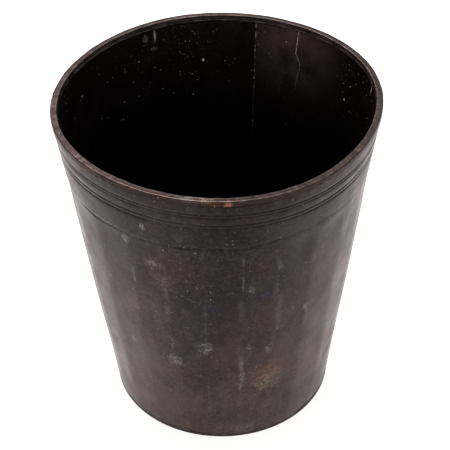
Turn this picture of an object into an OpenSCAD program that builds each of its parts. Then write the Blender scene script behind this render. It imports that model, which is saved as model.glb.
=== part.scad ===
// Copper beaker, a mug without a handle. A tapered wall rolled from sheet stands on a flat base disc and
// carries a rim ring of square wire, and brazing joins the pieces.
// The axis is Z, the base disc stands on Z = 0 and the front is -Y. Sizes are in millimetres, angles in
// degrees, anticlockwise from +X seen from above. A drop is measured straight down from the top of the rim.

/* [Overall] */
// Outside diameter of the rim ring
rim_d = 90; // [75:1:110]
// Height from the floor to the top of the rim ring
height = 99; // [80:1:130]
// Outside diameter of the base disc and of the wall's foot
foot_d = 65; // [50:1:74]

/* [Wall] */
// Thickness of the sheet that the wall is rolled from
wall_t = 1.2; // [0.8:0.1:1.5]
// Gap between the wall's two upright edges at the rim, filled by brazing
seam_w = 0.5; // [0.3:0.1:1]
// Direction of the upright joint
seam_angle = 75; // [0:1:359]

/* [Rim ring] */
// Height of the ring's wire
ring_h = 1.8; // [1.2:0.1:3]
// Distance that the ring stands out beyond the wall's outside
ring_proud = 0.25; // [0.05:0.05:0.6]
// Distance that the ring stands in beyond the wall's inside
ring_lip = 0.45; // [0.2:0.05:1]
// Rounding of the wire's four edges
ring_round = 0.3; // [0.1:0.05:0.5]
// Gap between the two ends of the wire, filled by brazing
ring_joint_w = 0.6; // [0.3:0.1:1]
// Direction of the wire's joint
ring_joint_angle = 272; // [0:1:359]

/* [Turned lines] */
// Width of each line of the two pairs
line_w = 0.5; // [0.3:0.05:0.65]
// Depth of each line of the two pairs
line_depth = 0.22; // [0.1:0.02:0.4]
// Drop to the first line of the upper pair
upper_pair_drop = 4.9; // [4.2:0.1:5.5]
// Spacing of the two lines in the upper pair
upper_pair_gap = 0.9; // [0.7:0.05:1.5]
// Drop to the first line of the lower pair
lower_pair_drop = 8.5; // [7.8:0.1:12]
// Spacing of the two lines in the lower pair
lower_pair_gap = 1.25; // [0.7:0.05:2]
// Drop to the single shallow line
single_drop = 17.8; // [15:0.1:30]
// Width of the single line
single_w = 0.7; // [0.4:0.05:1.2]
// Depth of the single line
single_depth = 0.12; // [0.06:0.02:0.3]

/* [Base] */
// Thickness of the base disc
base_t = 1; // [0.8:0.1:2]
// Rounding of the disc's lower edge
base_round = 0.35; // [0.1:0.05:0.6]
// Diameter of the centre punch mark under the disc
punch_d = 1.4; // [0.8:0.1:3]
// Depth of the centre punch mark
punch_depth = 0.4; // [0.2:0.05:0.6]

/* [Brazing] */
// Thickness of the brazing between two pieces
braze_gap = 0.15; // [0.05:0.05:0.3]
// Size of the fillet in the corner inside the base
base_fillet = 1.2; // [0.6:0.1:2.5]
// Size of the fillet under the ring, inside the wall
rim_fillet = 0.35; // [0.1:0.05:0.6]

/* [Hidden] */

patina = "#3d3331";
ring_patina = "#4a3c38";
spelter = "#5f5038";

$fn = 120;
arc_steps = 5;

// Heights of the joints between the pieces
wall_bottom = base_t + braze_gap;
ring_bottom = height - ring_h;
wall_top = ring_bottom - braze_gap;

// The wall is a cone between the foot and the ring
foot_r = foot_d / 2;
rim_r = rim_d / 2;
wall_top_r = rim_r - ring_proud;
slope = (wall_top_r - foot_r) / (wall_top - wall_bottom);
level_t = wall_t / cos(atan(slope));

// The ring overhangs the wall inside, and the fillet there can't be wider than that
ring_inner_r = wall_top_r - level_t - ring_lip;
rim_fillet_fit = min(rim_fillet, ring_lip);

// Each turned line is [drop, width, depth], from the lowest to the highest
turned_lines = [
    [single_drop, single_w, single_depth],
    [lower_pair_drop + lower_pair_gap, line_w, line_depth],
    [lower_pair_drop, line_w, line_depth],
    [upper_pair_drop + upper_pair_gap, line_w, line_depth],
    [upper_pair_drop, line_w, line_depth]
];

// Outside and inside radius of the wall at a height
function outer_r(z) = foot_r + slope * (z - wall_bottom);
function inner_r(z) = outer_r(z) - level_t;

// Angle that an arc of this length takes on the rim
function joint_degrees(width) = width / (PI * rim_d) * 360;

// Points of a quarter round, from angle a to angle a + 90
function quarter(centre, r, a) = [
    for (i = [0:arc_steps]) centre + r * [cos(a + 90 * i / arc_steps), sin(a + 90 * i / arc_steps)]
];

// Points of a hollow fillet from one point to another, bending towards the corner between them
function hollow(from, corner, to) = [
    for (i = [0:arc_steps])
        let (t = i / arc_steps)
        (1 - t) * (1 - t) * from + 2 * t * (1 - t) * corner + t * t * to
];

// Turns a profile all the way round except for a joint of this angle
module turned_except(joint, direction) {
    rotate([0, 0, direction + joint / 2])
        rotate_extrude(angle = 360 - joint)
            children();
}

// Turns a profile through the joint only
module turned_joint(joint, direction) {
    rotate([0, 0, direction - joint / 2])
        rotate_extrude(angle = joint)
            children();
}

// Section of the wall with its V-shaped lines
module wall_section() {
    cuts = [
        for (line = turned_lines)
            let (z = height - line[0], half = line[1] / 2)
            each [
                [outer_r(z - half), z - half],
                [outer_r(z) - line[2], z],
                [outer_r(z + half), z + half]
            ]
    ];
    polygon(concat(
        [[inner_r(wall_bottom), wall_bottom], [foot_r, wall_bottom]],
        cuts,
        [[wall_top_r, wall_top], [inner_r(wall_top), wall_top]]
    ));
}

// Section of the rim's wire, a rectangle with rounded edges
module ring_section() {
    left = ring_inner_r + ring_round;
    right = rim_r - ring_round;
    low = ring_bottom + ring_round;
    high = height - ring_round;
    polygon(concat(
        quarter([right, high], ring_round, 0),
        quarter([left, high], ring_round, 90),
        quarter([left, low], ring_round, 180),
        quarter([right, low], ring_round, 270)
    ));
}

// Rolled sheet wall, open at its upright joint
module body_wall() {
    color(patina)
        turned_except(joint_degrees(seam_w), seam_angle)
            wall_section();
}

// Brazing that fills the wall's upright joint, turned to the same section
module wall_seam_braze() {
    color(spelter)
        turned_joint(joint_degrees(seam_w), seam_angle)
            wall_section();
}

// Ring of square wire on top of the wall
module rim_ring() {
    color(ring_patina)
        turned_except(joint_degrees(ring_joint_w), ring_joint_angle)
            ring_section();
}

// Brazing between the two ends of the rim's wire
module rim_joint_braze() {
    color(spelter)
        turned_joint(joint_degrees(ring_joint_w), ring_joint_angle)
            ring_section();
}

// Brazing between the ring and the wall's top edge, with a fillet inside
module rim_braze() {
    wall_r = inner_r(wall_top);
    fillet_foot = wall_top - rim_fillet_fit;
    color(spelter)
        rotate_extrude()
            polygon(concat(
                [[wall_top_r, ring_bottom], [wall_top_r, wall_top], [wall_r, wall_top]],
                hollow(
                    [inner_r(fillet_foot), fillet_foot],
                    [inner_r(ring_bottom), ring_bottom],
                    [wall_r - rim_fillet_fit, ring_bottom]
                )
            ));
}

// Flat disc under the wall, with a centre punch mark beneath
module base_disc() {
    color(patina)
        difference() {
            rotate_extrude()
                polygon(concat(
                    [[0, 0]],
                    quarter([foot_r - base_round, base_round], base_round, 270),
                    [[foot_r, base_t], [0, base_t]]
                ));
            translate([0, 0, -punch_depth])
                cylinder(h = 2 * punch_depth, r1 = punch_d, r2 = 0);
        }
}

// Brazing between the disc and the wall's lower edge, with a fillet inside
module base_braze() {
    wall_r = inner_r(wall_bottom);
    fillet_top = base_t + base_fillet;
    color(spelter)
        rotate_extrude()
            polygon(concat(
                [[foot_r, base_t], [foot_r, wall_bottom], [wall_r, wall_bottom]],
                hollow(
                    [inner_r(fillet_top), fillet_top],
                    [inner_r(base_t), base_t],
                    [wall_r - base_fillet, base_t]
                )
            ));
}

body_wall();
wall_seam_braze();
rim_ring();
rim_joint_braze();
rim_braze();
base_disc();
base_braze();
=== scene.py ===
"""A dark, oxidised copper beaker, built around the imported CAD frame.

Lengths are in millimetres until a mesh is made. An azimuth is in degrees, 0 at the front (-Y) and growing
to the right seen from the front. A drop is measured straight down from the top of the rim.
"""

import math

import bpy
import numpy as np
from mathutils import Matrix, Vector, noise


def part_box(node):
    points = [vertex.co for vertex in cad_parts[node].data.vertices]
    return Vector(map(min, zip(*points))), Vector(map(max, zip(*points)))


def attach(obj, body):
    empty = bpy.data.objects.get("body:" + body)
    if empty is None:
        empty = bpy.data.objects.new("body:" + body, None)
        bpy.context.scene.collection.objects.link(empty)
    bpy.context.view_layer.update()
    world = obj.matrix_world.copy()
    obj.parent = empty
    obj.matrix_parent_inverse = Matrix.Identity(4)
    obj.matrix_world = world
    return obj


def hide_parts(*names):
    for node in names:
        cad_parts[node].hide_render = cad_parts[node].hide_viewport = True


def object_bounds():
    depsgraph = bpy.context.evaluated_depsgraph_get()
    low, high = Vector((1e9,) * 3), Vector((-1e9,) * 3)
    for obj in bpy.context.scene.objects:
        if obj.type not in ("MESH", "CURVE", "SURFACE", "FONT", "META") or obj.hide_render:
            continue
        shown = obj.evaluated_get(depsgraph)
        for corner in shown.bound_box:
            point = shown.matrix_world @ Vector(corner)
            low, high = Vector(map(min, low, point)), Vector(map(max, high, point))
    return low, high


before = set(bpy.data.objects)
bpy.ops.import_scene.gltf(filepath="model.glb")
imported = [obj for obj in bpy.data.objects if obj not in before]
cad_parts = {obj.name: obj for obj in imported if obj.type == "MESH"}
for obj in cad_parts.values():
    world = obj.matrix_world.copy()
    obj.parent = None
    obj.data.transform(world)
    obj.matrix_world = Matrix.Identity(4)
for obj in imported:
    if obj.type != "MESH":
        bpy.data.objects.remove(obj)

CAD_LOW, CAD_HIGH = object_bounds()
MM = 0.001

# ---- Sizes read from the frame --------------------------------------------------------------------------


def reach(node):
    """Smallest and largest radius of a CAD node."""
    radii = [math.hypot(v.co.x, v.co.y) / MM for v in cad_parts[node].data.vertices]
    return min(radii), max(radii)


def heights(node):
    """Lowest and highest point of a CAD node."""
    low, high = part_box(node)
    return low.z / MM, high.z / MM


def direction(node):
    """Azimuth of a narrow CAD node."""
    low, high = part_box(node)
    return math.degrees(math.atan2(low.x + high.x, -low.y - high.y))


HEIGHT = CAD_HIGH.z / MM
RING_IN, RIM_R = reach("rim_ring")
RING_DROP = HEIGHT - heights("rim_ring")[0]
WALL_IN, WALL_TOP_R = reach("body_wall")
WALL_TOP_DROP = HEIGHT - heights("body_wall")[1]
WALL_LOW_DROP = HEIGHT - heights("body_wall")[0]
FOOT_R = reach("base_disc")[1]
BASE_T = heights("base_disc")[1]
WALL_T = FOOT_R - WALL_IN
BASE_FILLET = heights("base_braze")[1] - BASE_T
SEAM_AT = direction("wall_seam_braze")
JOINT_AT = direction("rim_joint_braze")
SEAM_HALF = 0.32
JOINT_HALF = 0.4

# ---- Camera, floor and light ----------------------------------------------------------------------------

CAMERA_AT = (1.22, -317.5, 312.3)
CAMERA_DOWN = 39.07
CAMERA_ROLL = -0.55
CAMERA_LENS = 112.8
SENSOR = 36.0

# The floor glows a little, so that the beaker hardly shades it
FLOOR_GLOW = 0.75
SOFTBOX_AT = (-0.1, 0.4, 0.8)
SOFTBOX_SIZE = 0.5
SOFTBOX_WATTS = 11.5


def make_camera():
    """A long lens looking down at the beaker."""
    data = bpy.data.cameras.new("camera")
    data.lens = CAMERA_LENS
    data.sensor_width = SENSOR
    data.clip_start = 0.01
    data.clip_end = 20
    camera = bpy.data.objects.new("camera", data)
    camera.location = Vector(CAMERA_AT) * MM
    down = Matrix.Rotation(math.radians(90 - CAMERA_DOWN), 4, "X")
    roll = Matrix.Rotation(math.radians(CAMERA_ROLL), 4, "Z")
    camera.rotation_mode = "QUATERNION"
    camera.rotation_quaternion = (down @ roll).to_quaternion()
    bpy.context.scene.collection.objects.link(camera)
    bpy.context.scene.camera = camera


def make_stage():
    """A plain white floor under an even white surround, with a large soft lamp above and behind."""
    side = 4.0
    mesh = bpy.data.meshes.new("floor")
    corners = [(-side, -side, 0), (side, -side, 0), (side, side, 0), (-side, side, 0)]
    mesh.from_pydata(corners, [], [(0, 1, 2, 3)])
    floor = bpy.data.objects.new("floor", mesh)
    bpy.context.scene.collection.objects.link(floor)
    material = bpy.data.materials.new("white_floor")
    material.use_nodes = True
    shader = material.node_tree.nodes["Principled BSDF"]
    shader.inputs["Base Color"].default_value = (0.45, 0.45, 0.45, 1)
    shader.inputs["Roughness"].default_value = 0.9
    shader.inputs["Specular IOR Level"].default_value = 0.0
    shader.inputs["Emission Color"].default_value = (1.0, 0.985, 0.97, 1)
    shader.inputs["Emission Strength"].default_value = FLOOR_GLOW
    mesh.materials.append(material)

    world = bpy.data.worlds.new("surround")
    world.use_nodes = True
    background = world.node_tree.nodes["Background"]
    background.inputs["Color"].default_value = (1.0, 0.985, 0.97, 1)
    background.inputs["Strength"].default_value = 1.0
    bpy.context.scene.world = world

    lamp = bpy.data.lights.new("softbox", "AREA")
    lamp.shape = "DISK"
    lamp.size = SOFTBOX_SIZE
    lamp.energy = SOFTBOX_WATTS
    light = bpy.data.objects.new("softbox", lamp)
    light.location = SOFTBOX_AT
    light.rotation_euler = (-light.location).to_track_quat("-Z", "Y").to_euler()
    bpy.context.scene.collection.objects.link(light)
    bpy.context.scene.view_settings.view_transform = "Standard"


# ---- The hand-made shape --------------------------------------------------------------------------------

# (lobes, size, phase) of the rim's departure from a circle, which fades out towards the foot
OUT_OF_ROUND = ((2, 0.37, 60.0), (3, 0.28, -50.0), (4, 0.29, -65.0))
LEAN = (-0.38, -0.36)
TILT = (0.0028, 0.0027)
WAIST = (-0.2, 20.0, 9.0)
BELLY = (0.22, 62.0, 24.0)

# Ridges between the planished flats. The flats that the front shows are uneven, the rest are spaced alike
FRONT_RIDGES = (-65.0, -51.0, -36.0, -21.0, -6.0, 8.0, 22.0, 37.5, 54.0, 68.5)
FLATS_BEHIND = 15
FLATS_TOP = (17.0, 21.5)
FLATS_FOOT = (82.0, 96.0)
RIDGE_SOFTNESS = 2.4
FLAT_SHARE = 0.65

# (drop, width, depth, waviness) of each turned line
TURNED_LINES = (
    (4.9, 0.42, 0.15, 0.05),
    (5.8, 0.40, 0.13, 0.05),
    (8.5, 0.42, 0.15, 0.05),
    (9.75, 0.45, 0.17, 0.07),
)
SINGLE_DROP = 17.7
SINGLE_WIDTH = 1.1
SINGLE_DEPTH = 0.2
# (azimuth, drop) along the collar's uneven lower edge
COLLAR_EDGE = (
    (-180.0, 17.8),
    (-66.0, 17.8),
    (-49.0, 18.5),
    (-38.0, 18.0),
    (-30.0, 18.3),
    (-15.0, 17.9),
    (-8.0, 17.4),
    (-4.0, 17.9),
    (0.0, 17.2),
    (4.0, 17.6),
    (9.0, 17.5),
    (15.0, 17.0),
    (22.0, 16.3),
    (38.0, 15.7),
    (60.0, 16.5),
    (90.0, 17.4),
    (180.0, 17.8),
)

# (azimuth, width) of the two stretches where the collar's edge is clear, and of the one where the turned
# lines are rubbed away
CLEAR_FRONT = (-1.0, 16.0)
CLEAR_LEFT = (-46.0, 15.0)
RUBBED_AWAY = (-21.0, 9.0)

# The material's grime is 1 in a turned line this deep. Along the collar's edge the same darkening is painted
# shadow of its ledge, this much in the middle
GRIMY_DEPTH = 0.15
COLLAR_SHADE = 2.6


def smooth(value, low, high):
    """0 below low, 1 above high and an S curve between them."""
    t = np.clip((value - low) / (high - low), 0.0, 1.0)
    return t * t * (3 - 2 * t)


def hump(value, centre, width):
    """A bell curve of height 1."""
    return np.exp(-(((value - centre) / width) ** 2))


def rough(x, y, z, size, seed):
    """Smooth random numbers between about -1 and 1 at each point, with features of this size."""
    x, y, z = np.broadcast_arrays(x, y, z)
    flat = zip(x.ravel() / size, y.ravel() / size, z.ravel() / size + 37.1 * seed)
    return np.array([noise.noise(p) for p in flat]).reshape(x.shape)


def around(azimuth, drop, size, seed):
    """Smooth random numbers over the wall, the same on both sides of a full turn."""
    a = np.radians(azimuth)
    r = cone(drop)
    return rough(r * np.sin(a), -r * np.cos(a), drop, size, seed)


def cone(drop):
    """Outside radius of the plain tapered wall, from the rim ring to the foot."""
    share = (drop - WALL_TOP_DROP) / (WALL_LOW_DROP - WALL_TOP_DROP)
    return WALL_TOP_R + (FOOT_R - WALL_TOP_R) * share


def out_of_round(azimuth, drop):
    """Departure from a circle at this height."""
    a = np.radians(azimuth)
    total = sum(size * np.cos(lobes * a + math.radians(phase)) for lobes, size, phase in OUT_OF_ROUND)
    return total * (1 - drop / HEIGHT)


def bow(drop):
    """The wall's gentle waist under the rim and its belly lower down."""
    return WAIST[0] * hump(drop, *WAIST[1:]) + BELLY[0] * hump(drop, *BELLY[1:])


def ridges():
    """Azimuths of the ridges once round, ending with the first one again."""
    first, last = FRONT_RIDGES[0] + 360, FRONT_RIDGES[-1]
    step = (first - last) / FLATS_BEHIND
    return np.array(FRONT_RIDGES + tuple(last + step * (k + 1) for k in range(FLATS_BEHIND)))


def flat_depth(azimuth):
    """How far a flat lies inside the round wall, as a share of the radius: 0 on a ridge."""
    edges = ridges()
    wrapped = (azimuth - edges[0]) % 360 + edges[0]
    k = np.clip(np.searchsorted(edges, wrapped, side="right") - 1, 0, len(edges) - 2)
    half = (edges[k + 1] - edges[k]) / 2
    t = (wrapped - edges[k] - half) / half
    return (1 - t * t) * np.radians(half) ** 2 / 2


def soft_flats(azimuth):
    """flat_depth with its ridges rounded off."""
    steps = np.linspace(-2, 2, 9)
    weights = np.exp(-(steps**2))
    depths = [w * flat_depth(azimuth + s * RIDGE_SOFTNESS) for s, w in zip(steps, weights)]
    return sum(depths) / weights.sum()


def ridge_nearness(azimuth):
    """1 on a ridge, falling to 0 two degrees away."""
    edges = ridges()
    wrapped = (azimuth - edges[0]) % 360 + edges[0]
    away = np.min(np.abs(wrapped[..., None] - edges), axis=-1)
    return 1 - smooth(away, 0.0, 2.0)


def flats_share(drop):
    """How strong the flats are: none on the collar, full below it and fading at the foot."""
    return FLAT_SHARE * smooth(drop, *FLATS_TOP) * (1 - 0.65 * smooth(drop, *FLATS_FOOT))


def single_line_drop(azimuth):
    """The uneven lower edge of the collar."""
    turns, drops = zip(*COLLAR_EDGE)
    wrapped = (azimuth + 180) % 360 - 180
    ragged = around(azimuth, np.full_like(azimuth, SINGLE_DROP), 1.8, 5)
    return np.interp(wrapped, turns, drops) + 0.2 * ragged


def single_line_strength(azimuth):
    """How clear the collar's edge is: best at the front and on the left, broken elsewhere."""
    broken = smooth(around(azimuth, np.full_like(azimuth, SINGLE_DROP), 7.0, 6), -0.35, 0.3)
    clear = 0.25 + 0.75 * hump(azimuth, *CLEAR_FRONT) + 0.9 * hump(azimuth, *CLEAR_LEFT)
    return (0.3 + 0.7 * broken) * clear


def single_line(azimuth, drop):
    """1 in the middle of the collar's edge where it is clear, falling to 0 beside it."""
    return single_line_strength(azimuth) * hump(drop, single_line_drop(azimuth), SINGLE_WIDTH / 2)


def line_clearness(azimuth, drop):
    """How clear the turned lines are: rubbed away a little to the left of the front."""
    return 1 - 0.5 * hump(azimuth, *RUBBED_AWAY) + 0.3 * around(azimuth, drop, 9.0, 7)


def turned_lines(azimuth, drop):
    """Depth of the turned lines."""
    total = 0
    for centre, width, depth, wave in TURNED_LINES:
        middle = centre + wave * np.sin(np.radians(azimuth) * 3 + centre)
        total = total + depth * hump(drop, middle, width / 2)
    return total * line_clearness(azimuth, drop)


def wall_radius(azimuth, drop):
    """Outside radius of the finished wall."""
    radius = cone(drop) + out_of_round(azimuth, drop) + bow(drop)
    radius = radius - soft_flats(azimuth) * cone(drop) * flats_share(drop)
    dents = 0.05 * around(azimuth, drop, 16.0, 1) + 0.02 * around(azimuth, drop, 5.0, 2)
    return radius + dents - turned_lines(azimuth, drop) - SINGLE_DEPTH * single_line(azimuth, drop)


def lining_radius(azimuth, drop):
    """Inside radius of the finished wall."""
    radius = cone(drop) - WALL_T + out_of_round(azimuth, drop) + 0.6 * bow(drop)
    radius = radius - 0.5 * soft_flats(azimuth) * cone(drop) * flats_share(drop)
    return radius + 0.05 * around(azimuth, drop, 12.0, 3) + 0.02 * around(azimuth, drop, 4.0, 4)


def stand(azimuth, radius, drop):
    """Points of the leaning, slightly tilted beaker, in metres."""
    a = np.radians(azimuth)
    azimuth, radius, drop = np.broadcast_arrays(azimuth, radius, drop)
    upper = 1 - np.clip(drop / HEIGHT, 0, 1)
    x = radius * np.sin(a) + LEAN[0] * upper
    y = -radius * np.cos(a) + LEAN[1] * upper
    z = HEIGHT - drop + (TILT[0] * x + TILT[1] * y) * upper
    return np.stack([x, y, z], axis=-1) * MM


# ---- Mesh making ----------------------------------------------------------------------------------------


def spaced(low, high, step):
    """Even values from low to high, about a step apart."""
    return list(np.linspace(low, high, max(2, round(abs(high - low) / step) + 1)))


def turned(name, points, closed):
    """A mesh from points[azimuth, profile point], whose profile is a closed loop.

    It runs once round when closed. Otherwise its two ends are capped.
    """
    count, loop = points.shape[:2]
    index = np.arange(count * loop).reshape(count, loop)
    nxt = np.roll(index, -1, axis=0) if closed else index[1:]
    now = index if closed else index[:-1]
    quads = np.stack([now, nxt, np.roll(nxt, -1, axis=1), np.roll(now, -1, axis=1)], axis=-1)
    faces = quads.reshape(-1, 4).tolist()
    if not closed:
        faces += [index[0].tolist(), index[-1].tolist()[::-1]]
    mesh = bpy.data.meshes.new(name)
    mesh.from_pydata(points.reshape(-1, 3).tolist(), [], faces)
    mesh.validate()
    made = bpy.data.objects.new(name, mesh)
    bpy.context.scene.collection.objects.link(made)
    return made


def note(piece, name, *values):
    """Stores three numbers at each vertex for the material to read."""
    data = np.zeros((len(piece.data.vertices), 3), np.float32)
    for k, value in enumerate(values):
        data[:, k] = np.asarray(value, np.float32).ravel()
    made = piece.data.attributes.new(name, "FLOAT_VECTOR", "POINT")
    made.data.foreach_set("vector", data.ravel())


def finish_piece(piece, node, materials, smooth_angle=40):
    """Shading, materials and the piece's place in the frame."""
    for material in materials:
        piece.data.materials.append(material)
    piece.data.polygons.foreach_set("use_smooth", [True] * len(piece.data.polygons))
    piece.data.set_sharp_from_angle(angle=math.radians(smooth_angle))
    piece.data.update()
    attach(piece, "root")
    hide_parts(node)


# ---- Material helpers -----------------------------------------------------------------------------------


class Tree:
    """Short calls for building one material's nodes. A value may be a socket, a number or a colour."""

    def __init__(self, name):
        self.material = bpy.data.materials.new(name)
        self.material.use_nodes = True
        self.tree = self.material.node_tree
        self.shader = self.tree.nodes["Principled BSDF"]

    def put(self, socket, value):
        if isinstance(value, bpy.types.NodeSocket):
            self.tree.links.new(value, socket)
        elif isinstance(value, tuple) and len(value) == 3 and socket.type == "RGBA":
            socket.default_value = (*value, 1)
        else:
            socket.default_value = value

    def add(self, kind, settings=None, **inputs):
        made = self.tree.nodes.new("ShaderNode" + kind)
        for key, value in (settings or {}).items():
            setattr(made, key, value)
        for key, value in inputs.items():
            self.put(made.inputs[key.replace("_", " ")], value)
        return made

    def math(self, operation, *values):
        made = self.add("Math", {"operation": operation})
        for socket, value in zip(made.inputs, values):
            self.put(socket, value)
        return made.outputs[0]

    def times(self, *values):
        total = values[0]
        for value in values[1:]:
            total = self.math("MULTIPLY", total, value)
        return total

    def plus(self, a, b):
        return self.math("ADD", a, b)

    def largest(self, *values):
        total = values[0]
        for value in values[1:]:
            total = self.math("MAXIMUM", total, value)
        return total

    def fade(self, value, low, high, start=0.0, end=1.0):
        """start below low, end above high, with an S curve between."""
        made = self.add("MapRange", {"interpolation_type": "SMOOTHSTEP"})
        for key, number in (("Value", value), ("From Min", low), ("From Max", high)):
            self.put(made.inputs[key], number)
        made.inputs["To Min"].default_value = start
        made.inputs["To Max"].default_value = end
        return made.outputs[0]

    def mix(self, share, a, b):
        made = self.add("Mix", {"data_type": "RGBA"})
        self.put(made.inputs["Factor"], share)
        self.put(made.inputs[6], a)
        self.put(made.inputs[7], b)
        return made.outputs[2]

    def scaled(self, colour, factor):
        made = self.add("VectorMath", {"operation": "SCALE"})
        self.put(made.inputs[0], colour)
        self.put(made.inputs["Scale"], factor)
        return made.outputs[0]

    def stored(self, name):
        """The three numbers that note() stored, as a vector."""
        return self.add("Attribute", {"attribute_name": name}).outputs["Vector"]

    def parts(self, vector):
        """The three numbers of a vector."""
        return self.add("SeparateXYZ", Vector=vector).outputs[:3]

    def vector_math(self, operation, *values):
        made = self.add("VectorMath", {"operation": operation})
        for socket, value in zip(made.inputs, values):
            self.put(socket, value)
        return made

    def position(self, stretch=(1, 1, 1), turn=(0, 0, 0), shift=(0, 0, 0)):
        """The point on the object in millimetres, stretched and turned."""
        place = self.add("TexCoord").outputs["Object"]
        made = self.add("Mapping", Vector=place)
        made.inputs["Scale"].default_value = [s / MM for s in stretch]
        made.inputs["Rotation"].default_value = [math.radians(t) for t in turn]
        made.inputs["Location"].default_value = shift
        return made.outputs[0]

    def noise(self, place, size, detail=2.0, roughness=0.5, distortion=0.0):
        """Noise from 0 to 1 with features of about this size in millimetres."""
        made = self.add("TexNoise", Vector=place)
        for key, number in (
            ("Scale", 1 / size),
            ("Detail", detail),
            ("Roughness", roughness),
            ("Distortion", distortion),
        ):
            made.inputs[key].default_value = number
        return made.outputs["Fac"]

    def specks(self, place, spacing, radius, share):
        """Small round dots, sharp at their edges, in a share of the cells."""
        made = self.add("TexVoronoi", Vector=place)
        made.inputs["Scale"].default_value = 1 / spacing
        near = self.fade(made.outputs["Distance"], radius / spacing, 0.6 * radius / spacing, 0.0, 1.0)
        parts = self.add("SeparateXYZ", Vector=made.outputs["Color"])
        return self.math("MULTIPLY", near, self.math("LESS_THAN", parts.outputs[0], share))


# Mirror colours of the oxidised metal and of what is worn or lodged on it
BROWN = (0.0350, 0.0275, 0.0262)
WARM_BROWN = (0.0400, 0.0272, 0.0240)
REDDISH = (0.048, 0.027, 0.026)
BLUISH = (0.029, 0.028, 0.038)
# Dark colour of grime in the turned lines and of the painted shadow along the collar's edge
GRIME_AND_SHADE = (0.010, 0.006, 0.005)
# Dark colour of the painted shadow band at the front of the collar's edge
SHADOW_DARK = (0.012, 0.008, 0.008)
RUBBED = (0.080, 0.066, 0.063)
BRIGHT_COPPER = (0.20, 0.085, 0.060)
DARK_COPPER = (0.12, 0.040, 0.026)
RUBBED_COPPER = (0.17, 0.105, 0.08)
RING_OUTER_EDGE = (0.058, 0.042, 0.036)
RING_INNER_EDGE = (0.070, 0.056, 0.050)
RING_BROWN = (0.034, 0.018, 0.013)
RING_DARK_BROWN = (0.042, 0.019, 0.010)

# The metal's mirror colour seen edge on
EDGE_TINT = (0.92, 0.87, 0.855)

# Colours of the dull films on it
PALE = (0.30, 0.285, 0.265)
DUST = (0.16, 0.145, 0.135)
LILAC = (0.30, 0.25, 0.27)
PINK = (0.34, 0.24, 0.23)
VERDIGRIS = (0.26, 0.31, 0.28)
OCHRE = (0.21, 0.115, 0.040)
OLIVE = (0.22, 0.20, 0.12)
STRAW = (0.27, 0.235, 0.15)
CHALK = (0.45, 0.41, 0.38)
RED_HAZE = (0.30, 0.165, 0.15)
RING_DUST = (0.17, 0.115, 0.10)
# Colour of the painted highlight along the wire's lower inner edge
RING_PAINTED_HIGHLIGHT = (0.25, 0.215, 0.20)
PALE_STRAW = (0.24, 0.19, 0.12)
PALE_SPELTER = (0.58, 0.51, 0.46)
COPPERY_SPELTER = (0.50, 0.24, 0.11)

# Tarnish tints on the outer wall, with painted light and shade among them: (azimuth, drop, half width, half
# height, share, colour)
TINTS_AND_PAINTED_LIGHT = (
    # Painted light: the plain grey-brown patches are darker at the front and on the collar's right, and
    # lighter towards the sides, for how the wall reflects its surround. The reddish, bluish and greenish ones
    # are tarnish.
    (-5.0, 41.0, 14.0, 18.0, 1.6, (0.0225, 0.0165, 0.0155)),
    (-2.0, 13.0, 12.0, 5.0, 1.0, (0.0215, 0.0165, 0.0155)),
    (9.0, 13.5, 5.0, 4.5, 1.1, (0.0200, 0.0150, 0.0140)),
    (3.5, 89.0, 5.0, 7.5, 1.0, (0.0220, 0.0160, 0.0145)),
    (-37.0, 27.0, 7.5, 11.0, 1.2, (0.060, 0.047, 0.046)),
    (-37.0, 68.0, 8.0, 13.0, 1.2, (0.060, 0.047, 0.046)),
    (29.0, 24.0, 6.0, 14.0, 0.9, (0.055, 0.043, 0.042)),
    (29.0, 66.0, 6.0, 16.0, 0.9, (0.055, 0.041, 0.040)),
    (50.0, 14.0, 13.0, 8.0, 1.4, (0.0240, 0.0185, 0.0175)),
    (-58.0, 13.0, 18.0, 14.0, 1.3, (0.060, 0.049, 0.047)),
    (25.0, 13.5, 10.0, 8.0, 1.2, (0.056, 0.044, 0.042)),
    (-28.0, 88.0, 13.0, 12.0, 1.0, (0.062, 0.043, 0.040)),
    (21.0, 71.5, 8.0, 10.0, 1.2, (0.050, 0.027, 0.021)),
    (23.5, 45.0, 1.8, 10.0, 1.2, (0.090, 0.072, 0.070)),
    (-21.0, 27.0, 9.0, 9.0, 0.8, (0.052, 0.028, 0.028)),
    (-13.0, 26.5, 3.5, 3.0, 0.8, (0.060, 0.024, 0.026)),
    (0.0, 61.0, 6.0, 6.0, 0.7, (0.050, 0.026, 0.028)),
    (3.0, 45.0, 3.0, 7.0, 0.5, (0.045, 0.027, 0.029)),
    (16.5, 27.0, 2.2, 3.0, 0.9, (0.065, 0.026, 0.020)),
    (17.5, 46.0, 3.0, 6.0, 0.6, (0.052, 0.026, 0.032)),
    (-3.0, 40.5, 5.5, 4.5, 0.9, (0.027, 0.026, 0.046)),
    (-11.0, 48.0, 4.0, 4.0, 0.8, (0.029, 0.025, 0.047)),
    (17.0, 36.0, 4.0, 3.5, 0.9, (0.036, 0.026, 0.052)),
    (11.0, 42.0, 3.5, 4.0, 0.9, (0.026, 0.036, 0.034)),
    (-8.0, 13.5, 5.0, 3.5, 0.6, (0.028, 0.031, 0.038)),
    (23.0, 68.0, 7.0, 9.0, 0.5, (0.052, 0.027, 0.032)),
    (-16.0, 93.0, 5.0, 6.0, 0.7, (0.055, 0.026, 0.020)),
    (-40.0, 82.0, 9.0, 12.0, 0.6, (0.044, 0.029, 0.030)),
)

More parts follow.
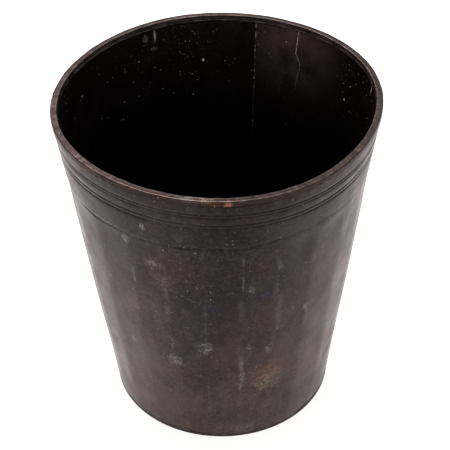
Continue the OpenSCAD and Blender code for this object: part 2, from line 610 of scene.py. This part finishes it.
# Dull films on the outer wall:
# (azimuth, drop, half width, half height, raggedness, how broken up, strength, colour)
FILMS = (
    (8.4, 22.5, 0.5, 3.0, 1.2, 0.8, 0.16, PALE),
    (8.5, 31.0, 0.5, 6.5, 1.2, 0.8, 0.15, PALE),
    (8.6, 65.0, 1.0, 4.0, 1.8, 0.9, 0.26, LILAC),
    (9.0, 71.0, 1.3, 4.5, 2.0, 0.9, 0.30, LILAC),
    (8.3, 75.0, 0.6, 3.0, 1.2, 0.7, 0.30, PALE),
    (11.5, 58.0, 1.2, 2.5, 1.6, 1.0, 0.22, PALE),
    (-6.0, 50.0, 0.4, 13.0, 1.8, 1.0, 0.09, PALE),
    (-6.0, 78.0, 0.4, 12.0, 1.8, 1.0, 0.09, PALE),
    (-35.5, 20.5, 1.4, 2.5, 1.8, 0.8, 0.30, PALE),
    (-34.5, 33.0, 0.9, 4.5, 1.8, 0.9, 0.26, PALE),
    (-25.0, 26.5, 2.8, 2.8, 2.4, 0.9, 0.26, PINK),
    (-21.0, 32.0, 5.0, 6.0, 2.4, 1.0, 0.10, PINK),
    (-27.0, 13.2, 1.0, 1.5, 2.4, 0.8, 0.46, PALE),
    (-21.5, 65.0, 3.2, 2.8, 2.6, 1.0, 0.36, PALE),
    (-21.0, 58.0, 0.8, 5.0, 2.0, 0.9, 0.16, PALE),
    (-36.0, 47.0, 1.2, 2.0, 2.0, 0.8, 0.18, PALE),
    (-49.0, 40.0, 1.5, 2.0, 2.0, 0.8, 0.22, PALE),
    (-42.0, 63.0, 1.5, 2.0, 2.2, 1.0, 0.30, PALE),
    (20.5, 60.0, 1.6, 2.6, 2.4, 1.0, 0.24, PALE),
    (37.0, 48.0, 1.4, 2.2, 2.2, 0.9, 0.30, PALE),
    (24.0, 52.0, 3.0, 1.2, 2.2, 0.9, 0.14, PALE),
    (11.0, 95.0, 6.0, 2.2, 2.4, 1.0, 0.16, PALE),
    (-18.0, 94.0, 0.9, 2.6, 1.4, 0.7, 0.32, OCHRE),
)

# (azimuth, drop, half width, half height) of single marks on the outer wall, then inside, then on the ring
# A painted shadow band along the front of the collar's edge
COLLAR_SHADOW_BAND = (-1.0, 18.0, 10.0, 1.4)
VERDIGRIS_SCRAWL = (-6.9, 57.5, 3.6, 3.4)
RUST = (20.8, 72.5, 6.4, 9.2)
RUST_BITS = (20.5, 75.0, 5.2, 7.0)
SPECKLED_FRONT = (-8.0, 27.0, 26.0, 20.0)
HAZY_SIDE = (148.0, 10.0, 25.0, 34.0)
SPECKLED_BACK = (-173.0, 15.0, 13.0, 16.0)
BROWN_SPOT = (-1.2, 1.2, 2.6, 1.4)
COPPER_SPOT = (3.0, 1.15, 1.35, 1.5)
LILAC_SPOT = (-10.5, 0.2, 2.6, 1.0)
STRAW_SPOT = (-3.5, 0.3, 2.4, 0.7)


def spot(t, place, azimuth, drop, across, down, ragged=0.0, wave=None):
    """1 at the middle of an oval patch on the wall and 0 outside it. wave is a noise that frays its edge."""
    away = t.vector_math("SUBTRACT", place, (azimuth, drop, 0)).outputs[0]
    stretch = (math.radians(cone(drop)) / across, 1 / down, 0)
    far = t.vector_math("LENGTH", t.vector_math("MULTIPLY", away, stretch).outputs[0]).outputs["Value"]
    if wave:
        far = t.math("MULTIPLY_ADD", wave, ragged, far)
    return t.fade(far, 1.0 + ragged / 2, 0.2 + ragged / 2, 0.0, 1.0)


class Film:
    """Dull films laid over the metal one after another, the strongest winning."""

    def __init__(self, t, cover, shade):
        self.t = t
        self.cover = cover
        self.shade = shade

    def lay(self, mask, strength, shade):
        share = self.t.times(mask, strength)
        stronger = self.t.math("GREATER_THAN", share, self.cover)
        self.shade = self.t.mix(stronger, self.shade, shade)
        self.cover = self.t.largest(self.cover, share)


def patina(t, tone, warmth, bump_size, scratches=1.0):
    """Mirror colour, height and scratches of oxidised copper: mottled, streaked down and faintly tinted.

    tone scales the brightness and warmth the redness.
    """
    here = t.position()
    broad = t.fade(t.noise(here, 14.0, 3.0, 0.6), 0.3, 0.7, 0.80, 1.20)
    streaks = t.fade(t.noise(t.position((1, 1, 0.25)), 3.0, 3.0, 0.6), 0.28, 0.72, 0.80, 1.20)
    grain = t.fade(t.noise(here, 0.9, 3.0, 0.7), 0.25, 0.75, 0.70, 1.30)
    level = t.times(tone, broad, streaks, grain)
    red = t.fade(t.noise(t.position((1, 1, 0.6), shift=(31, 7, 3)), 9.0, 2.0, 0.5), 0.5, 0.68)
    blue = t.fade(t.noise(t.position((1, 1, 0.6), shift=(3, 61, 17)), 7.5, 2.0, 0.5), 0.58, 0.72)
    colour = t.mix(warmth, BROWN, WARM_BROWN)
    colour = t.mix(t.times(red, 0.4), colour, REDDISH)
    colour = t.mix(t.times(blue, 0.35), colour, BLUISH)
    fine = t.noise(here, bump_size, 4.0, 0.6)
    scratch = t.largest(
        *(
            t.fade(t.noise(t.position(stretch, turn), 0.35, 1.0, 0.4), 0.72, 0.78)
            for stretch, turn in (
                ((1, 1, 0.08), (18, 8, 0)),
                ((1, 1, 0.08), (-32, 30, 40)),
                ((0.1, 0.1, 1), (6, -19, 20)),
            )
        )
    )
    height = t.plus(fine, t.times(scratch, -0.4 * scratches))
    return t.scaled(colour, level), height, scratch


def dress(t, colour, film, roughness, height, depth):
    """Joins the metal colour, the film over it, roughness and bump to the shader."""
    t.put(t.shader.inputs["Base Color"], t.mix(film.cover, colour, film.shade))
    t.put(t.shader.inputs["Metallic"], t.math("SUBTRACT", 1.0, film.cover))
    t.put(t.shader.inputs["Roughness"], roughness)
    t.put(t.shader.inputs["Specular Tint"], EDGE_TINT)
    bump = t.add("Bump", Height=height)
    bump.inputs["Strength"].default_value = 1.0
    bump.inputs["Distance"].default_value = depth * MM
    t.put(t.shader.inputs["Normal"], bump.outputs[0])
    return t.material


def tinted_and_painted_light(t, colour, place, tone):
    """The metal's colour with its tarnish tints, and with patches of painted light and shade."""
    cloud = t.noise(t.position(shift=(2, 7, 5)), 5.0, 3.0, 0.6)
    for azimuth, drop, across, down, share, shade in TINTS_AND_PAINTED_LIGHT:
        patch = spot(t, place, azimuth, drop, across, down, 1.6, cloud)
        colour = t.mix(t.times(patch, 0.5 * share), colour, t.scaled(shade, tone))
    return colour


def aged_and_shaded(t, colour, place, wave):
    """The colour with grime in the turned lines, painted shadow along the collar's edge and in a band at its
    front, and ridges rubbed paler.
    """
    ridge, grime_and_shadow, _ = t.parts(t.stored("form"))
    colour = t.mix(t.fade(grime_and_shadow, 0.1, 1.1, 0.0, 0.68), colour, GRIME_AND_SHADE)
    # Painted shadow: a ragged dark band along the front of the collar's edge.
    collar_shadow_band = spot(t, place, *COLLAR_SHADOW_BAND, 1.6, wave)
    colour = t.mix(t.times(collar_shadow_band, 0.75), colour, SHADOW_DARK)
    patches = t.fade(t.noise(t.position((1, 1, 0.5), shift=(5, 9, 47)), 5.0, 3.0, 0.6), 0.46, 0.64)
    return t.mix(t.times(ridge, patches, 0.4), colour, RUBBED)


def lay_scuffs(t, film, place, wave):
    """Pale scuffs and runs, and the green scrawl low on the front."""
    crumbs = t.fade(t.noise(t.position(shift=(6, 6, 1)), 0.62, 3.0, 0.7), 0.40, 0.60)
    for azimuth, drop, across, down, ragged, broken, strength, shade in FILMS:
        mask = spot(t, place, azimuth, drop, across, down, ragged, wave)
        mask = t.times(mask, t.plus(t.times(crumbs, broken), 1 - broken))
        film.lay(mask, strength, shade)
    scrawl = spot(t, place, *VERDIGRIS_SCRAWL, 0.8, wave)
    line = t.noise(t.position((1, 1, 0.7), (0, 25, 0), (2, 4, 8)), 2.1, 1.5, 0.5)
    wiggle = t.fade(t.math("ABSOLUTE", t.math("SUBTRACT", line, 0.5)), 0.055, 0.015)
    film.lay(t.times(scrawl, wiggle, t.plus(t.times(crumbs, 0.7), 0.3)), 0.62, VERDIGRIS)
    film.lay(scrawl, 0.05, VERDIGRIS)


def lay_rust(t, film, place, drop, wave):
    """The rusty patch: ochre above, olive below, with straw-coloured bits."""
    rust = spot(t, place, *RUST, 1.5, wave)
    shade = t.mix(t.fade(t.plus(drop, t.times(wave, 7.0)), 74.0, 78.5), OCHRE, OLIVE)
    blotches = t.fade(t.noise(t.position(shift=(1, 2, 3)), 1.2, 3.0, 0.7), 0.42, 0.60, 0.12, 1.0)
    film.lay(t.times(rust, blotches), 0.34, shade)
    bits = t.specks(t.position(shift=(4, 4, 9)), 1.5, 0.5, 0.5)
    film.lay(t.times(spot(t, place, *RUST_BITS, 0.8, wave), bits), 0.42, STRAW)


def lay_chips(t, film, place):
    """Dust and chips of pale scale, thickest on the upper front."""
    here = t.position()
    crowd = t.fade(t.noise(here, 10.0, 2.0, 0.6), 0.42, 0.66, 0.2, 1.0)
    crowd = t.times(crowd, t.plus(0.45, t.times(spot(t, place, *SPECKLED_FRONT), 0.8)))
    film.lay(t.specks(here, 1.5, 0.26, t.times(crowd, 0.45)), 0.22, PALE)
    film.lay(t.specks(t.position(shift=(7, 3, 5)), 2.7, 0.26, t.times(crowd, 0.7)), 0.50, PALE)
    film.lay(t.specks(t.position(shift=(17, 33, 5)), 0.9, 0.22, t.times(crowd, 0.4)), 0.13, PALE)
    dabs = t.fade(t.noise(t.position(shift=(27, 13, 5)), 2.6, 3.0, 0.65), 0.61, 0.68)
    film.lay(t.times(dabs, crowd), 0.13, PALE)


def outside_material():
    """The outer wall: darker towards the rim."""
    t = Tree("patina_outside")
    place = t.stored("place")
    _, drop, _ = t.parts(place)
    tone = t.fade(drop, 2.0, 97.0, 0.50, 1.32)
    colour, height, scratch = patina(t, tone, 0.75, 0.7)
    wave = t.noise(t.position(shift=(5, 2, 8)), 1.4, 3.0, 0.65)
    colour = aged_and_shaded(t, tinted_and_painted_light(t, colour, place, tone), place, wave)
    mottle = t.fade(t.noise(t.position(shift=(8, 1, 3)), 1.3, 4.0, 0.7), 0.5, 0.72)
    film = Film(t, t.times(mottle, 0.045), PALE)
    film.lay(scratch, 0.07, PALE)
    lay_scuffs(t, film, place, wave)
    lay_rust(t, film, place, drop, wave)
    lay_chips(t, film, place)
    rubbed = t.fade(t.noise(t.position(), 6.0, 3.0, 0.6), 0.3, 0.7, 0.31, 0.41)
    return dress(t, colour, film, t.plus(rubbed, t.times(film.cover, 0.4)), height, 0.018)


# Pale marks on the inner wall: (azimuth, drop, half width, half height, raggedness, strength)
INSIDE_MARKS = (
    (-154.6, 4.2, 0.55, 2.6, 0.8, 0.7),
    (-150.5, 4.5, 1.2, 2.2, 3.0, 0.25),
    (-153.5, 8.0, 1.6, 0.6, 2.4, 0.25),
    (-173.8, 14.4, 0.55, 0.75, 0.6, 0.9),
    (152.3, 6.3, 0.4, 0.5, 0.6, 0.7),
    (120.7, 15.6, 0.5, 0.6, 0.6, 0.9),
    (102.3, 4.2, 0.3, 2.2, 0.8, 0.8),
    (-169.0, 25.3, 0.4, 0.5, 0.6, 0.6),
)


def inside_material():
    """The inner wall: black, dusty near the mouth, with a hairline crack."""
    t = Tree("patina_inside")
    place = t.stored("place")
    _, drop, _ = t.parts(place)
    _, _, crack_away = t.parts(t.stored("form"))
    colour, height, _ = patina(t, 0.6, 0.8, 0.8)
    here = t.position()
    wave = t.noise(t.position(shift=(5, 2, 8)), 0.9, 3.0, 0.65)
    upper = t.fade(drop, 42.0, 0.0, 0.0, 1.0)
    cloud = t.noise(t.position(shift=(4, 1, 9)), 6.0, 4.0, 0.65)
    dusty_side = spot(t, place, *HAZY_SIDE, 0.8, cloud)
    haze = t.times(t.fade(cloud, 0.3, 0.7, 0.4, 1.0), t.plus(0.14, dusty_side))
    film = Film(t, t.times(haze, upper, 0.29), RED_HAZE)
    crowd = t.fade(t.noise(here, 9.0, 2.0, 0.6), 0.42, 0.64, 0.15, 1.0)
    crowd = t.plus(crowd, t.times(spot(t, place, *SPECKLED_BACK, 0.8, cloud), 0.8))
    film.lay(t.specks(here, 1.0, 0.22, t.times(crowd, upper, 0.9)), 0.35, DUST)
    film.lay(t.specks(t.position(shift=(9, 31, 5)), 1.7, 0.24, t.times(crowd, upper, 0.8)), 0.8, DUST)
    film.lay(t.specks(t.position(shift=(7, 3, 5)), 3.6, 0.28, t.times(crowd, upper, 0.7)), 0.9, PALE)
    film.lay(t.specks(t.position(shift=(2, 63, 5)), 2.6, 0.25, t.times(crowd, upper, 0.7)), 0.8, OCHRE)
    for azimuth, level, across, down, ragged, strength in INSIDE_MARKS:
        film.lay(spot(t, place, azimuth, level, across, down, ragged, wave), strength, CHALK)
    along = t.fade(drop, 27.0, 1.0, 0.05, 1.0)
    broken = t.fade(t.noise(t.position(shift=(8, 2, 5)), 1.1, 2.0, 0.5), 0.3, 0.55, 0.25, 1.0)
    near = t.fade(t.math("ABSOLUTE", crack_away), 0.17, 0.07)
    film.lay(t.times(near, along, broken, t.fade(drop, 23.5, 21.0)), 0.95, CHALK)
    roughness = t.plus(0.36, t.times(film.cover, 0.4))
    return dress(t, colour, film, roughness, height, 0.02)


def ring_material():
    """The rim's wire: rubbed to pinkish copper along its edges, with a bare patch at its joint. Its top has
    painted shade, darker at the front, and its lower inner edge has a painted highlight.
    """
    t = Tree("patina_ring")
    place = t.stored("place")
    azimuth, drop, _ = t.parts(place)
    outer_edge, inner_edge, face = t.parts(t.stored("form"))
    colour, height, _ = patina(t, 0.62, 0.9, 0.6)
    top = t.math("SUBTRACT", 1.0, t.largest(outer_edge, inner_edge, face))
    # Painted shade: the wire's top is darkened by half at the front and by a tenth on the sides and back,
    # where the softbox reflects in it.
    painted_top_shade = t.fade(t.math("ABSOLUTE", azimuth), 25.0, 58.0, -0.5, -0.1)
    colour = t.scaled(colour, t.math("MULTIPLY_ADD", top, painted_top_shade, 1.0))
    worn = t.fade(t.noise(t.position(), 3.5, 4.0, 0.75), 0.38, 0.64, 0.1, 1.0)
    low = t.fade(drop, 1.1, 1.5)
    colour = t.mix(t.times(outer_edge, worn, 0.7), colour, RING_OUTER_EDGE)
    colour = t.mix(t.times(inner_edge, worn, 0.5), colour, RING_INNER_EDGE)
    brown = t.times(face, t.fade(t.noise(t.position(shift=(5, 2, 2)), 7.0, 2.0, 0.5), 0.42, 0.6))
    colour = t.mix(t.times(brown, 0.55), colour, RING_BROWN)
    stained = t.times(spot(t, place, *BROWN_SPOT), t.plus(face, outer_edge))
    colour = t.mix(t.times(stained, 0.9), colour, RING_DARK_BROWN)
    wave = t.noise(t.position(shift=(3, 3, 7)), 0.9, 3.0, 0.6)
    bare = t.times(spot(t, place, *COPPER_SPOT, 0.9, wave), t.plus(face, outer_edge))
    copper = t.mix(t.fade(wave, 0.4, 0.6), BRIGHT_COPPER, DARK_COPPER)
    colour = t.mix(t.math("MINIMUM", bare, 0.95), colour, copper)
    film = Film(t, t.times(t.specks(t.position(), 1.4, 0.22, 0.14), 0.35), PALE)
    pale = t.fade(t.noise(t.position(shift=(1, 9, 2)), 3.0, 3.0, 0.6), 0.35, 0.6, 0.4, 1.0)
    film.lay(t.times(inner_edge, t.fade(drop, 0.25, 0.55), pale), 0.42, RING_DUST)
    # Painted highlight along the lower inner edge of the wire
    film.lay(t.times(inner_edge, low, pale), 0.75, RING_PAINTED_HIGHLIGHT)
    film.lay(spot(t, place, *LILAC_SPOT, 1.8, wave), 0.05, LILAC)
    film.lay(spot(t, place, *STRAW_SPOT, 2.0, wave), 0.12, PALE_STRAW)
    roughness = t.fade(outer_edge, 0.0, 1.0, 0.38, 0.32)
    return dress(t, colour, film, roughness, height, 0.02)


def spelter_material(name, shade, tone, depth):
    """Tarnished brazing metal with a lumpy surface."""
    t = Tree(name)
    here = t.position()
    lumps = t.noise(here, 0.9, 3.0, 0.6)
    dull = t.fade(t.noise(here, 2.2, 3.0, 0.6), 0.35, 0.65)
    colour = t.mix(dull, (0.030, 0.024, 0.021), shade)
    level = t.times(tone, t.fade(t.noise(here, 0.6, 2.0, 0.6), 0.3, 0.7, 0.7, 1.3))
    film = Film(t, t.times(t.specks(here, 1.3, 0.3, 0.3), 0.3), PALE)
    return dress(t, t.scaled(colour, level), film, 0.42, lumps, depth)


def seam_material():
    """The wall's joint: hidden by patina outside, a broken row of pale beads inside near the mouth."""
    t = Tree("seam_spelter")
    _, drop, inside = t.parts(t.stored("place"))
    bead, _, _ = t.parts(t.stored("form"))
    colour, height, _ = patina(t, 0.95, 0.6, 0.7)
    chance = t.fade(t.noise(t.position(shift=(0, 0, 4)), 1.5, 3.0, 0.7), 0.42, 0.57)
    shown = t.times(t.fade(drop, 40.0, 30.0), inside)
    warm = t.fade(t.noise(t.position(shift=(3, 8, 1)), 2.4, 1.0, 0.5), 0.52, 0.62)
    shade = t.mix(warm, PALE_SPELTER, COPPERY_SPELTER)
    film = Film(t, t.times(shown, 0.16), DUST)
    film.lay(t.times(bead, chance, shown), 0.85, shade)
    return dress(t, colour, film, 0.42, height, 0.02)


def base_material():
    """The bottom plate: patina with rings left by the lathe, rubbed where it slides on a table."""
    t = Tree("patina_base")
    _, _, radius = t.parts(t.stored("place"))
    contact, _, _ = t.parts(t.stored("form"))
    colour, height, _ = patina(t, 1.15, 0.6, 0.8, 1.6)
    rings = t.math("SINE", t.plus(t.times(radius, 9.0), t.times(t.noise(t.position(), 3.0), 3.0)))
    rubbed = t.times(contact, t.fade(t.noise(t.position(), 2.5, 4.0, 0.7), 0.38, 0.62, 0.15, 1.0))
    colour = t.mix(t.times(rubbed, 0.75), colour, RUBBED_COPPER)
    height = t.plus(height, t.times(rings, 0.12))
    film = Film(t, t.times(t.specks(t.position(), 1.6, 0.3, 0.2), 0.3), DUST)
    film.lay(t.fade(t.noise(t.position(shift=(3, 3, 3)), 8.0, 4.0, 0.65), 0.55, 0.75), 0.12, DUST)
    return dress(t, colour, film, 0.42, height, 0.02)


# ---- Pieces ---------------------------------------------------------------------------------------------

WALL_STEPS = 640
RING_STEPS = 1080
BASE_STEPS = 360

# (drop, azimuth) along the hairline crack inside
CRACK = ((0.0, 147.3), (3.0, 147.4), (9.0, 147.9), (12.5, 145.3), (17.0, 146.4), (21.7, 146.8), (30.0, 147.0))

# Radii of the rim wire's corners: its worn outer edge on top, its inner edge on top, and the two below
OUTER_ROUND = 0.38
INNER_ROUND = 0.30
LOWER_ROUND = 0.28
ARC_POINTS = 6

# The base plate's rounded edge, its hollow underneath and its punch mark
BASE_CORNER = 0.35
BASE_DISH = 0.18
PUNCH_R = 0.75
PUNCH_DEPTH = 0.4


def crack_distance(azimuth, drop, radius):
    """How far each point lies to the right of the crack."""
    drops, azimuths = zip(*CRACK)
    middle = np.interp(drop, drops, azimuths) + 0.12 * np.sin(drop * 3.1)
    return np.radians(azimuth - middle) * radius


def fine_drops(top, bottom, step):
    """Drops from top to bottom, closer together across each turned line."""
    drops = spaced(top, bottom, step)
    for centre, width, _, _ in TURNED_LINES:
        drops += [centre + width * k for k in (-0.9, -0.55, -0.28, 0.0, 0.28, 0.55, 0.9)]
    drops += spaced(SINGLE_DROP - 2.2, SINGLE_DROP + 2.2, 0.25)
    drops.sort()
    kept = [drops[0]]
    for drop in drops[1:-1]:
        if drop - kept[-1] > 0.1 and bottom - drop > 0.1:
            kept.append(drop)
    return np.array(kept + [drops[-1]])


def make_wall():
    """The rolled and planished wall, open at its upright joint."""
    azimuth = np.linspace(SEAM_AT - 360 + SEAM_HALF, SEAM_AT - SEAM_HALF, WALL_STEPS + 1)[:, None]
    out_drops = fine_drops(WALL_TOP_DROP, WALL_LOW_DROP, 1.55)[None, :]
    in_drops = np.array(spaced(WALL_LOW_DROP, 34.0, 4.0) + spaced(33.0, WALL_TOP_DROP, 1.2))[None, :]
    outer = wall_radius(azimuth, out_drops)
    inner = lining_radius(azimuth, in_drops)
    points = np.concatenate([stand(azimuth, outer, out_drops), stand(azimuth, inner, in_drops)], axis=1)
    wall = turned("wall", points, closed=False)
    radius = np.concatenate([outer, inner], axis=1)
    drop = np.broadcast_to(np.concatenate([out_drops, in_drops], axis=1), radius.shape)
    note(wall, "place", np.broadcast_to(azimuth, radius.shape), drop, radius)
    ridge = ridge_nearness(azimuth[:, 0])[:, None] * smooth(drop, *FLATS_TOP)
    # Grime in the turned lines plus painted shadow along the collar's edge, for the material
    grime_and_shadow = turned_lines(azimuth, drop) / GRIMY_DEPTH + COLLAR_SHADE * single_line(azimuth, drop)
    note(wall, "form", ridge, grime_and_shadow, crack_distance(azimuth, drop, radius))
    count = out_drops.shape[1]
    loop = points.shape[1]
    slots = []
    for face in wall.data.polygons:
        rows = {index % loop for index in face.vertices}
        slots.append(1 if min(rows) >= count else 0)
    finish_piece(wall, "body_wall", (outside_material(), inside_material()))
    wall.data.polygons.foreach_set("material_index", slots)


def make_seam():
    """The strip of brazing down the wall's joint, beaded on the inside."""
    azimuth = np.linspace(SEAM_AT - SEAM_HALF, SEAM_AT + SEAM_HALF, 9)[:, None]
    out_drops = np.array(spaced(WALL_TOP_DROP, WALL_LOW_DROP, 0.8))[None, :]
    in_drops = np.array(spaced(WALL_LOW_DROP, WALL_TOP_DROP, 0.25))[None, :]
    crown = 1 - ((azimuth - SEAM_AT) / SEAM_HALF) ** 2
    beads = np.abs(np.sin(in_drops * 1.15 + 1.4 * np.sin(in_drops * 0.37))) ** 3
    outer = wall_radius(azimuth, out_drops) + 0.03 * crown
    inner = lining_radius(azimuth, in_drops) - crown * (0.05 + 0.22 * beads)
    points = np.concatenate([stand(azimuth, outer, out_drops), stand(azimuth, inner, in_drops)], axis=1)
    seam = turned("seam_braze", points, closed=False)
    drops = np.concatenate([out_drops, in_drops], axis=1) + 0 * azimuth
    inside = np.concatenate([0 * out_drops, 0 * in_drops + 1], axis=1) + 0 * azimuth
    bead = np.concatenate([0 * out_drops, beads], axis=1) * crown
    note(seam, "place", azimuth + 0 * drops, drops, inside)
    note(seam, "form", bead, bead, bead)
    finish_piece(seam, "wall_seam_braze", (seam_material(),))


def ring_corner(out, down, radius, start):
    """Points round one corner of the rim wire, a quarter turn from the start angle: (out, down) pairs."""
    middle_out = out + (radius if out < 0 else -radius)
    middle_up = -down + (radius if down > 0 else -radius)
    angles = [math.radians(start - 90 * k / (ARC_POINTS - 1)) for k in range(ARC_POINTS)]
    return [(middle_out + radius * math.cos(a), -(middle_up + radius * math.sin(a))) for a in angles]


def ring_section():
    """The rim wire's profile, one row a point: out, down, outer edge, inner edge and outer face."""
    width = RIM_R - RING_IN
    rows = [(x, y, 1.0, 0.0, 0.0) for x, y in ring_corner(0.0, 0.0, OUTER_ROUND, 90)]
    rows[-1] = (*rows[-1][:4], 0.6)
    for share in (0.2, 0.4, 0.6, 0.8):
        rows.append((0.0, OUTER_ROUND + (RING_DROP - 2 * OUTER_ROUND) * share, 0.0, 0.0, 1.0))
    rows += [(x, y, 0.0, 0.0, 0.0) for x, y in ring_corner(0.0, RING_DROP, LOWER_ROUND, 0)]
    rows += [(x, y, 0.0, 1.0, 0.0) for x, y in ring_corner(-width, RING_DROP, LOWER_ROUND, -90)]
    rows += [(x, y, 0.0, 1.0, 0.0) for x, y in ring_corner(-width, 0.0, INNER_ROUND, 180)]
    for share in (0.15, 0.35, 0.5, 0.65, 0.85):
        rows.append((-width + INNER_ROUND + (width - 2 * INNER_ROUND) * share, 0.0, 0.0, 0.0, 0.0))
    return np.array(rows).T[:, None, :]


def ring_points(azimuth):
    """The rim wire's surface at these azimuths, with small dents, and how near each point is to its edges."""
    width = RIM_R - RING_IN
    outs, downs, *edges = ring_section()
    a = np.radians(azimuth)
    x, y = RIM_R * np.sin(a), -RIM_R * np.cos(a)
    dents = 0.06 * rough(x, y, downs * 2 + outs, 5.0, 8) + 0.06 * rough(x, y, downs * 3 - outs, 1.5, 9)
    middle_out, middle_down = outs + width / 2, downs - RING_DROP / 2
    length = np.sqrt(middle_out**2 + middle_down**2)
    radius = RIM_R + out_of_round(azimuth, 1.0) + outs + dents * middle_out / length
    drop = downs + dents * middle_down / length + 0.05 * rough(x, y, 0.0, 9.0, 10)
    return radius, drop, [np.broadcast_to(edge, radius.shape) for edge in edges]


def make_ring():
    """The rim's square wire and the brazing that closes it."""
    wide = np.linspace(JOINT_AT + JOINT_HALF - 360, JOINT_AT - JOINT_HALF, RING_STEPS + 1)[:, None]
    narrow = np.linspace(JOINT_AT - JOINT_HALF, JOINT_AT + JOINT_HALF, 9)[:, None]
    ring_look = ring_material()
    for name, node, slot, azimuth, swell in (
        ("rim_wire", "rim_ring", "rim_copper", wide, 0.0),
        ("rim_joint", "rim_joint_braze", "spelter", narrow, 0.06),
    ):
        radius, drop, notes = ring_points(azimuth)
        radius = radius + swell * (1 - ((azimuth - JOINT_AT) / JOINT_HALF) ** 2)
        piece = turned(name, stand(azimuth, radius, drop), closed=False)
        turn = np.where(azimuth < -180, azimuth + 360, azimuth)
        note(piece, "place", np.broadcast_to(turn, radius.shape), drop, radius)
        note(piece, "form", *notes)
        finish_piece(piece, node, (ring_look,), 60)


def make_rim_braze():
    """The thin brazed line between the ring and the wall, with a small fillet inside."""
    azimuth = np.linspace(0, 360, RING_STEPS, endpoint=False)[:, None]
    out = cone(WALL_TOP_DROP) + bow(WALL_TOP_DROP)
    fillet = 0.3
    lumps = 0.05 * around(azimuth, np.full_like(azimuth, 2.0), 1.2, 12)
    inner = out - WALL_T
    section = (
        (out - 0.12, RING_DROP - 0.02),
        (out - 0.12, WALL_TOP_DROP + 0.02),
        (inner + 0.2, WALL_TOP_DROP + 0.02),
        (inner - 0.02, WALL_TOP_DROP + fillet),
        (inner - fillet * 0.45, WALL_TOP_DROP + fillet * 0.2),
        (inner - fillet, RING_DROP - 0.02),
    )
    weights = np.array([0, 0, 0, 0.4, 1, 0.6])[None, :]
    radius = np.array([p[0] for p in section])[None, :] + out_of_round(azimuth, 2.0) + lumps * weights
    drop = np.array([p[1] for p in section])[None, :] + 0 * azimuth
    piece = turned("rim_braze_line", stand(azimuth, radius, drop), closed=True)
    material = spelter_material("rim_spelter", (0.06, 0.045, 0.035), 0.9, 0.01)
    finish_piece(piece, "rim_braze", (material,))


def make_base_braze():
    """The brazed line round the foot and the fillet in the corner inside."""
    azimuth = np.linspace(0, 360, RING_STEPS, endpoint=False)[:, None]
    top, bottom = WALL_LOW_DROP, HEIGHT - BASE_T
    lumps = 0.10 * around(azimuth, np.full_like(azimuth, 90.0), 3.0, 14)
    lumps = lumps + 0.06 * around(azimuth, np.full_like(azimuth, 95.0), 1.3, 15)
    inner = FOOT_R - WALL_T
    steps = np.linspace(0, 1, 8)
    curve = [
        (
            (1 - s) ** 2 * (inner + 0.12) + 2 * s * (1 - s) * inner + s**2 * (inner - BASE_FILLET),
            (1 - s) ** 2 * (bottom - BASE_FILLET) + 2 * s * (1 - s) * bottom + s**2 * bottom,
        )
        for s in steps
    ]
    section = [(FOOT_R + 0.02, bottom), (FOOT_R + 0.05, (top + bottom) / 2), (FOOT_R + 0.02, top)]
    section += [(inner + 0.3, top)] + curve
    weights = np.array([0, 0.3, 0, 0] + list(np.sin(steps * math.pi)))[None, :]
    radius = np.array([p[0] for p in section])[None, :] - lumps * weights
    drop = np.array([p[1] for p in section])[None, :] - 0.5 * lumps * weights
    piece = turned("base_braze_line", stand(azimuth, radius, drop), closed=True)
    material = spelter_material("base_spelter", (0.10, 0.085, 0.065), 1.0, 0.02)
    finish_piece(piece, "base_braze", (material,))


def make_base():
    """The bottom plate, slightly dished, with a punch mark in the middle of its underside."""
    azimuth = np.linspace(0, 360, BASE_STEPS, endpoint=False)[:, None]
    corner_r = FOOT_R - BASE_CORNER
    under = [0.0, 0.25, 0.5, 0.75, 0.95] + spaced(1.6, FOOT_R - 1.5, 1.3) + [FOOT_R - 0.9, corner_r]
    arc = [math.radians(angle) for angle in (-75, -55, -35, -15, 0)]
    rim = [(corner_r + BASE_CORNER * math.cos(a), BASE_CORNER + BASE_CORNER * math.sin(a)) for a in arc]
    over = [FOOT_R - 0.15, FOOT_R - 0.6] + spaced(FOOT_R - 1.5, 1.5, 1.3) + [0.0]
    profile = [(r, 0.0) for r in under] + rim + [(FOOT_R, BASE_T - 0.15)] + [(r, BASE_T) for r in over]
    radius = np.array([p[0] for p in profile])[None, :] + 0 * azimuth
    level = np.array([p[1] for p in profile])[None, :] + 0 * azimuth
    first_over = len(under) + len(rim) + 1
    is_over = (np.arange(len(profile)) >= first_over)[None, :]
    a = np.radians(azimuth)
    x, y = radius * np.sin(a), -radius * np.cos(a)
    waves = 0.10 * rough(x, y, 0 * x, 9.0, 20) + 0.04 * rough(x, y, 0 * x, 3.0, 21)
    calm = smooth(FOOT_R - radius, 1.2, 5.0)
    dish = BASE_DISH * calm + 0.08 * calm * (1 + waves * 4)
    punch = PUNCH_DEPTH * np.clip(1 - radius / PUNCH_R, 0, 1)
    level = np.where(is_over, level + waves * calm, level + np.where(level < 0.01, dish + punch, 0))
    points = np.stack([x, y, level], axis=-1) * MM
    piece = turned("base_plate", points, closed=True)
    contact = smooth(radius, FOOT_R - 4.5, FOOT_R - 1.0) * (level < 0.3)
    note(piece, "place", np.broadcast_to(azimuth, radius.shape), level, radius)
    note(piece, "form", contact, contact, contact)
    finish_piece(piece, "base_disc", (base_material(),))


make_camera()
make_stage()
make_wall()
make_seam()
make_ring()
make_rim_braze()
make_base_braze()
make_base()
